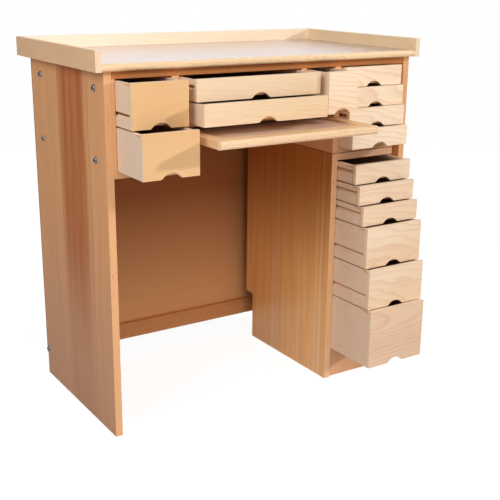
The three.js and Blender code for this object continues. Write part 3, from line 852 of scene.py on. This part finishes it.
@dataclass
class DrawerUnit:
    """The boards of the unit that hangs under the top."""

    uprights: tuple[str, ...] = ("left_box_side", "left_divider", "centre_divider", "right_divider",
                                 "right_runner_board")
    shelves: tuple[str, ...] = ("unit_top_panel", "left_box_bottom", "right_box_bottom", "centre_shelf")

    def dress(self) -> None:
        """Gives the uprights a vertical grain and the shelves a level one."""
        for count, node in enumerate(self.uprights):
            place = (0.4 * count, 0.05 * count, 0.06)
            dress(node, ALDER.material(node, Grain.UP_IN_SIDE, place, PALE_LIPPING))
        for count, node in enumerate(self.shelves):
            place = (0.5 * count, 0.05 * count, 0.08)
            # The unit's top panel gets the dark strip as painted shade under the top's overhang.
            strip = PAINTED_SHADE_LIPPING if node == "unit_top_panel" else PALE_LIPPING
            dress(node, ALDER.material(node, Grain.LEVEL_FLAT, place, strip))


@dataclass
class Pedestal:
    """The boards round the lower drawers."""

    streaks_and_painted_light: tuple[Band, ...] = (
        # Painted light: a wide pale band, full low on the left panel and gone near the top, where the tray
        # shades it.
        Band(0.08, 700, 50, "ffc57f", 0.95, full_z=0.27, faint_z=0.68, faint=0.0, patchy=0.75),
        Band(0.118, 15, 6, "f6d6ae", 0.75, full_z=0.1, faint_z=0.62, faint=0.0, wave_mm=4, patchy=0.3),
        Band(0.092, 11, 5, "f6d6ae", 0.75, full_z=0.1, faint_z=0.6, faint=0.0, wave_mm=4, patchy=0.3),
        Band(0.052, 6, 3, "f6d6ae", 0.5, full_z=0.1, faint_z=0.5, faint=0.0, wave_mm=4, patchy=0.2),
        Band(-0.020, 9, 4, "f6d6ae", 0.5, full_z=0.1, faint_z=0.5, faint=0.0, wave_mm=4, patchy=0.2),
        Band(-0.108, 8, 3, "fbdcb4", 0.85, full_z=0.1, faint_z=0.66, faint=0.1, wave_mm=3, patchy=0.5),
        Band(-0.130, 9, 3, "fbdcb4", 0.85, full_z=0.1, faint_z=0.7, faint=0.15, wave_mm=3, patchy=0.5),
    )

    def dress(self) -> None:
        """Gives each board its wood."""
        sides = (("pedestal_left_panel", (2.1, 0.25, 0.06), self.streaks_and_painted_light),
                 ("pedestal_runner_board", (2.6, 0.1, 0.06), ()))
        for node, place, streaks_and_painted_light in sides:
            dress(node, ALDER_STRIPED.material(node, Grain.UP_IN_SIDE, place, *streaks_and_painted_light, BROWN_LIPPING))
        for node, place in {"pedestal_top": (0.1, 0.0, 0.09), "pedestal_bottom": (0.9, 0.0, 0.09)}.items():
            dress(node, ALDER_STRIPED.material(node, Grain.LEVEL_FLAT, place, BROWN_LIPPING))
        dress("plinth_board", ALDER_PALE.material("plinth_board", Grain.LEVEL_IN_FRONT, (1.2, 0.02, 0.09)))


@dataclass
class DrawerBank:
    """A bank of drawers with one plywood on their fronts, each cut a step further on."""

    drawers: tuple[str, ...]
    ply: WoodFinish
    place: Triple
    strip_mm: float = 0.0
    worn: float = 1.0
    # Tone of the painted shade along the grooves' upper walls.
    burnt: str = "9c663e"
    layer_mm: float = 1.5
    step: Triple = (0.23, 0.031, 0.013)

    def dress(self) -> None:
        """Gives each front and box its own stretch of plywood."""
        for count, drawer in enumerate(self.drawers):
            place = tuple(start + step * count for start, step in zip(self.place, self.step))
            front, box = f"{drawer}_front", f"{drawer}_box"
            edge = PlyEdge("y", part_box(front)[0].y, self.layer_mm)
            dress(front, self.ply.material(front, Grain.LEVEL_IN_FRONT, place, edge))
            low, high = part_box(box)
            wear = BoxWear((low.x + high.x) / 2, (high.x - low.x) / 2, low.y, high.z, self.strip_mm,
                           self.groove_top(box), self.burnt, self.worn)
            dress(box, BIRCH_SANDED.material(box, Grain.UP_IN_SIDE, place, wear))

    @staticmethod
    def groove_top(box: str) -> float:
        """Finds the top of a box's side grooves.

        Args:
            box: the box's name.

        Returns:
            Its height, or the floor's where the box has none.
        """
        low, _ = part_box(box)
        near, far = low.x + SKIN_MM * MM, low.x + (SIDE_MM - SKIN_MM) * MM
        corners = (corner.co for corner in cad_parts[box].data.vertices)
        return max((place.z for place in corners if near < place.x < far), default=0.0)


@dataclass
class Tray:
    """The pull-out tray and the runners it slides on."""

    def dress(self) -> None:
        """Gives the frame its beech and the sheet its laminate."""
        dress("tray_frame", BEECH.material("tray_frame", Grain.DEEP_FLAT, (0.3, 0.2, 0.08)))
        strip = BEECH_LIGHT.material("tray_front_lipping", Grain.LEVEL_FLAT, (1.4, 0.2, 0.1))
        dress("tray_front_lipping", strip, ease_mm=0.3)
        dress("tray_sheet", LAMINATE_SMOOTH.material("tray"), ease_mm=0.2)
        for node in ("left_tray_runner", "right_tray_runner"):
            dress(node, BEECH.material(node, Grain.DEEP_FLAT, (0.8, 0.1, 0.1)))


@dataclass
class PanelScrews:
    """Pan-head screws through the end panels into the unit and the stretcher.

    Places are on Y and Z. The block is what trims a ball to a dome, larger than any head.
    """

    head_d: float = 18 * MM
    head_h: float = 5.5 * MM
    slot_w: float = 3.4 * MM
    slot_l: float = 11.0 * MM
    slot_depth: float = 3.8 * MM
    places: tuple[tuple[float, float], ...] = (
        (0.2516, 0.9054), (-0.1057, 0.906), (0.2542, 0.7293), (-0.1021, 0.7295), (0.3075, 0.0805))
    segments: int = 32
    rings: int = 16
    block: float = 0.1
    # Dark grey tones: painted shade in the metal's colour, standing in for the dark surroundings that bright
    # zinc would reflect.
    tones: tuple[str, str] = ("5a5d62", "7b7e84")
    cloud_mm: float = 2.0
    roughness: tuple[float, float] = (0.16, 0.28)

    def material(self) -> Material:
        """Returns bright zinc plate on steel, made a dark grey metal as painted shade for the dark
        surroundings it reflects, with sharp lights and faint clouding.
        """
        material, tree, shader = new_material("steel_zinc_plated")
        where = add_node(tree, "ShaderNodeTexCoord", out="Object")
        cloud = add_node(tree, NOISE, {"Vector": where, "Scale": 1 / (self.cloud_mm * MM), "Detail": 3.0})
        dark, pale = (linear(tone) for tone in self.tones)
        tone = add_node(tree, MIX, {0: cloud, 6: dark, 7: pale}, 2, data_type="RGBA")
        glossy, rough = self.roughness
        dull = add_node(tree, RANGE, {0: cloud, 3: glossy, 4: rough})
        tree.links.new(tone, shader.inputs["Base Color"])
        tree.links.new(dull, shader.inputs["Roughness"])
        shader.inputs["Metallic"].default_value = 1.0
        return material

    def tree(self) -> Tree:
        """Returns a tree that sets a turned screw head with a cross recess on each point."""
        tree = bpy.data.node_groups.new("screw_heads", "GeometryNodeTree")
        face = tree.interface
        face.new_socket("Points", in_out="INPUT", socket_type="NodeSocketGeometry")
        for name in ("Head diameter", "Head height", "Slot width", "Slot length", "Slot depth"):
            face.new_socket(name, in_out="INPUT", socket_type="NodeSocketFloat")
        face.new_socket("Turn", in_out="INPUT", socket_type="NodeSocketVector")
        face.new_socket("Material", in_out="INPUT", socket_type="NodeSocketMaterial")
        face.new_socket("Heads", in_out="OUTPUT", socket_type="NodeSocketGeometry")
        given = add_node(tree, "NodeGroupInput").node.outputs
        round_ball = {"Segments": self.segments, "Rings": self.rings, "Radius": 1.0}
        ball = add_node(tree, "GeometryNodeMeshUVSphere", round_ball, "Mesh")
        radius = add_node(tree, MATH, {0: given["Head diameter"], 1: 0.5}, operation="MULTIPLY")
        girth = add_node(tree, JOIN, {0: radius, 1: radius, 2: given["Head height"]})
        dome = add_node(tree, "GeometryNodeTransform", {"Geometry": ball, "Scale": girth})
        block = add_node(tree, "GeometryNodeMeshCube", {"Size": (self.block, self.block, self.block)}, "Mesh")
        sunk = (0, 0, -self.block / 2)
        below = add_node(tree, "GeometryNodeTransform", {"Geometry": block, "Translation": sunk})
        head = add_node(tree, "GeometryNodeMeshBoolean", {0: dome, 1: below}, operation="DIFFERENCE")
        for length, width in (("Slot length", "Slot width"), ("Slot width", "Slot length")):
            deep = add_node(tree, MATH, {0: given["Slot depth"], 1: 2.0}, operation="MULTIPLY")
            size = add_node(tree, JOIN, {0: given[length], 1: given[width], 2: deep})
            bar = add_node(tree, "GeometryNodeMeshCube", {"Size": size}, "Mesh")
            crown = add_node(tree, JOIN, {2: given["Head height"]})
            raised = add_node(tree, "GeometryNodeTransform", {"Geometry": bar, "Translation": crown})
            head = add_node(tree, "GeometryNodeMeshBoolean", {0: head, 1: raised}, operation="DIFFERENCE")
        turn = add_node(tree, "FunctionNodeEulerToRotation", {0: given["Turn"]})
        heads = add_node(tree, "GeometryNodeInstanceOnPoints",
                         {"Points": given["Points"], "Instance": head, "Rotation": turn})
        solid = add_node(tree, "GeometryNodeRealizeInstances", {0: heads})
        plated = {"Geometry": solid, "Material": given["Material"]}
        finished = add_node(tree, "GeometryNodeSetMaterial", plated)
        add_node(tree, "NodeGroupOutput", {0: finished})
        return tree

    def build(self) -> None:
        """Sets the screws on the outer faces of both end panels."""
        tree, zinc = self.tree(), self.material()
        left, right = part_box("left_end_panel")[0].x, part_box("right_end_panel")[1].x
        for name, face_x, turn in (("left_end_screws", left, -90), ("right_end_screws", right, 90)):
            points = bpy.data.meshes.new(f"{name}_places")
            points.from_pydata([(face_x, y, z) for y, z in self.places], [], [])
            holder = bpy.data.objects.new(f"{name}_holder", points)
            bpy.context.scene.collection.objects.link(holder)
            maker = holder.modifiers.new("screw_heads", "NODES")
            maker.node_group = tree
            values = {"Head diameter": self.head_d, "Head height": self.head_h, "Slot width": self.slot_w,
                      "Slot length": self.slot_l, "Slot depth": self.slot_depth,
                      "Turn": (0.0, math.radians(turn), 0.0), "Material": zinc}
            for item in tree.interface.items_tree:
                if item.in_out == "INPUT" and item.name in values:
                    maker[item.identifier] = values[item.name]
            graph = bpy.context.evaluated_depsgraph_get()
            mesh = bpy.data.meshes.new_from_object(holder.evaluated_get(graph))
            screws = bpy.data.objects.new(name, mesh)
            bpy.context.scene.collection.objects.link(screws)
            bpy.data.objects.remove(holder)
            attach(screws, "bench")
            LOG.info("made %s with %d faces", name, len(mesh.polygons))


@dataclass(frozen=True)
class SoftLamp:
    """A square soft lamp, aimed at the middle of the bench.

    Its azimuth is counted from the front, to the right, and its distance is from the bench.
    """

    name: str
    azimuth: float
    elevation: float
    watts: float
    size: float
    tint: Triple = (1.0, 1.0, 1.0)
    distance: float = 3.2


@dataclass
class Studio:
    """Floor, light and camera.

    The key lamp's angles are in degrees, the camera's in radians and its lens in millimetres.
    """

    eye: Triple = (-1.351353, -2.139168, 1.169505)
    yaw: float = 0.578
    pitch: float = -0.296
    roll: float = 0.011
    lens: float = 65.017
    sensor: float = 36.0
    aim: Triple = (0.0, 0.0, 0.5)
    key_azimuth: float = 68.0
    key_elevation: float = 18.0
    key_strength: float = 2.3
    key_angle: float = 3.5
    key_distance: float = 4.0
    sky: float = 0.15
    floor_share: float = 0.7
    floor_glow: float = 1.3
    floor_tone: float = 0.7
    floor_reach: float = 12.0
    floor_drop: float = 0.2 * MM
    soft_lamps: tuple[SoftLamp, ...] = (
        SoftLamp("front_fill", -8, 25, 36, 2.4, (1.0, 0.94, 0.87)),
        SoftLamp("left_fill", -65, 35, 38, 1.4),
        SoftLamp("rear_fill", 150, 35, 14, 1.8),
    )

    def build(self) -> None:
        """Makes the camera, the lamps, the world and the floor."""
        self.camera()
        key = bpy.data.lights.new("key", "SUN")
        key.energy = self.key_strength
        key.angle = math.radians(self.key_angle)
        self.hang("key", key, self.key_azimuth, self.key_elevation, self.key_distance)
        for soft in self.soft_lamps:
            lamp = bpy.data.lights.new(soft.name, "AREA")
            lamp.energy = soft.watts
            lamp.size = soft.size
            lamp.color = soft.tint
            self.hang(soft.name, lamp, soft.azimuth, soft.elevation, soft.distance)
        self.world()
        self.floor()

    def camera(self) -> None:
        """Sets the camera at the photograph's viewpoint."""
        level = math.cos(self.pitch)
        ahead = Vector((math.sin(self.yaw) * level, math.cos(self.yaw) * level, math.sin(self.pitch)))
        across = Vector((math.cos(self.yaw), -math.sin(self.yaw), 0.0))
        upright = across.cross(ahead)
        right = math.cos(self.roll) * across + math.sin(self.roll) * upright
        up = -math.sin(self.roll) * across + math.cos(self.roll) * upright
        data = bpy.data.cameras.new("camera")
        data.lens = self.lens
        data.sensor_width = self.sensor
        camera = bpy.data.objects.new("camera", data)
        turn = Matrix((right, up, -ahead)).transposed().to_4x4()
        camera.matrix_world = Matrix.Translation(self.eye) @ turn
        bpy.context.scene.collection.objects.link(camera)
        bpy.context.scene.camera = camera

    def hang(self, name: str, data: bpy.types.Light, azimuth: float, elevation: float,
             distance: float) -> None:
        """Hangs a lamp and aims it at the bench.

        Args:
            name: the lamp's name.
            data: the lamp.
            azimuth: degrees from the front, to the right.
            elevation: degrees above the floor.
            distance: metres from the bench.
        """
        around, above = math.radians(azimuth), math.radians(elevation)
        level = math.cos(above)
        toward = Vector((math.sin(around) * level, -math.cos(around) * level, math.sin(above)))
        lamp = bpy.data.objects.new(name, data)
        lamp.location = Vector(self.aim) + toward * distance
        lamp.rotation_mode = "QUATERNION"
        lamp.rotation_quaternion = toward.to_track_quat("Z", "Y")
        bpy.context.scene.collection.objects.link(lamp)

    @staticmethod
    def seen(tree: Tree) -> Socket:
        """Returns 1 for what the camera sees, straight, reflected or through glass, and 0 for lighting."""
        ray = add_node(tree, "ShaderNodeLightPath").node.outputs
        seen = ray["Is Camera Ray"]
        for other in ("Is Glossy Ray", "Is Transmission Ray"):
            seen = add_node(tree, MATH, {0: seen, 1: ray[other]}, operation="MAXIMUM")
        return seen

    def world(self) -> None:
        """Makes a soft sky that looks white to the camera and in reflections."""
        world = bpy.data.worlds.new("studio")
        world.use_nodes = True
        bpy.context.scene.world = world
        tree = world.node_tree
        tree.nodes.clear()
        level = add_node(tree, RANGE, {0: self.seen(tree), 3: self.sky, 4: 1.0})
        sky = add_node(tree, "ShaderNodeBackground", {"Color": grey(1.0), "Strength": level})
        add_node(tree, "ShaderNodeOutputWorld", {"Surface": sky})

    def floor(self) -> None:
        """Makes a pale floor that keeps a faint shadow."""
        mesh = bpy.data.meshes.new("floor")
        far = self.floor_reach
        corners = [(-far, -far, 0), (far, -far, 0), (far, far, 0), (-far, far, 0)]
        mesh.from_pydata(corners, [], [(0, 1, 2, 3)])
        floor = bpy.data.objects.new("floor", mesh)
        floor.location.z = -self.floor_drop
        bpy.context.scene.collection.objects.link(floor)
        material = bpy.data.materials.new("studio_floor")
        material.use_nodes = True
        tree = material.node_tree
        tree.nodes.clear()
        share = add_node(tree, RANGE, {0: self.seen(tree), 4: self.floor_share})
        matt = add_node(tree, "ShaderNodeBsdfDiffuse", {"Color": grey(self.floor_tone)})
        glow = add_node(tree, "ShaderNodeEmission", {"Color": grey(1.0), "Strength": self.floor_glow})
        both = add_node(tree, "ShaderNodeMixShader", {0: share, 1: matt, 2: glow})
        add_node(tree, "ShaderNodeOutputMaterial", {"Surface": both})
        mesh.materials.append(material)


def main() -> None:
    """Builds and dresses the bench, then sets the studio."""
    logging.basicConfig(level=logging.INFO, format="%(name)s: %(message)s")
    bpy.context.scene.view_settings.view_transform = "Standard"
    EndsAndBack().dress()
    TopAndGallery().dress()
    DrawerUnit().dress()
    Pedestal().dress()
    banks = (
        DrawerBank(("left_drawer_1", "left_drawer_2"), BIRCH_GOLDEN, (0.3, 0.1, 0.1)),
        DrawerBank(("wide_drawer_1", "wide_drawer_2"), BIRCH, (1.1, 0.07, 0.1), worn=0.0),
        DrawerBank(("narrow_drawer",), BIRCH_PALE, (2.3, 0.12, 0.1), worn=0.0),
        DrawerBank(tuple(f"right_drawer_{i}" for i in range(1, 5)), BIRCH_PALE, (3.7, 0.06, 0.09)),
        # The pedestal drawers' grooves get a paler painted shade.
        DrawerBank(tuple(f"pedestal_drawer_{i}" for i in range(1, 4)), BIRCH_PEDESTAL,
                   (5.2, 0.05, 0.09), 4.0, burnt="cda077"),
        DrawerBank(("pedestal_drawer_4", "pedestal_drawer_5"), BIRCH_PEDESTAL, (6.4, 0.05, 0.07),
                   burnt="cda077"),
        DrawerBank(("pedestal_drawer_6",), BIRCH_BROWN, (0.1, -0.06, 0.05)),
    )
    for bank in banks:
        bank.dress()
    Tray().dress()
    PanelScrews().build()
    Studio().build()


if __name__ == "__main__":
    main()
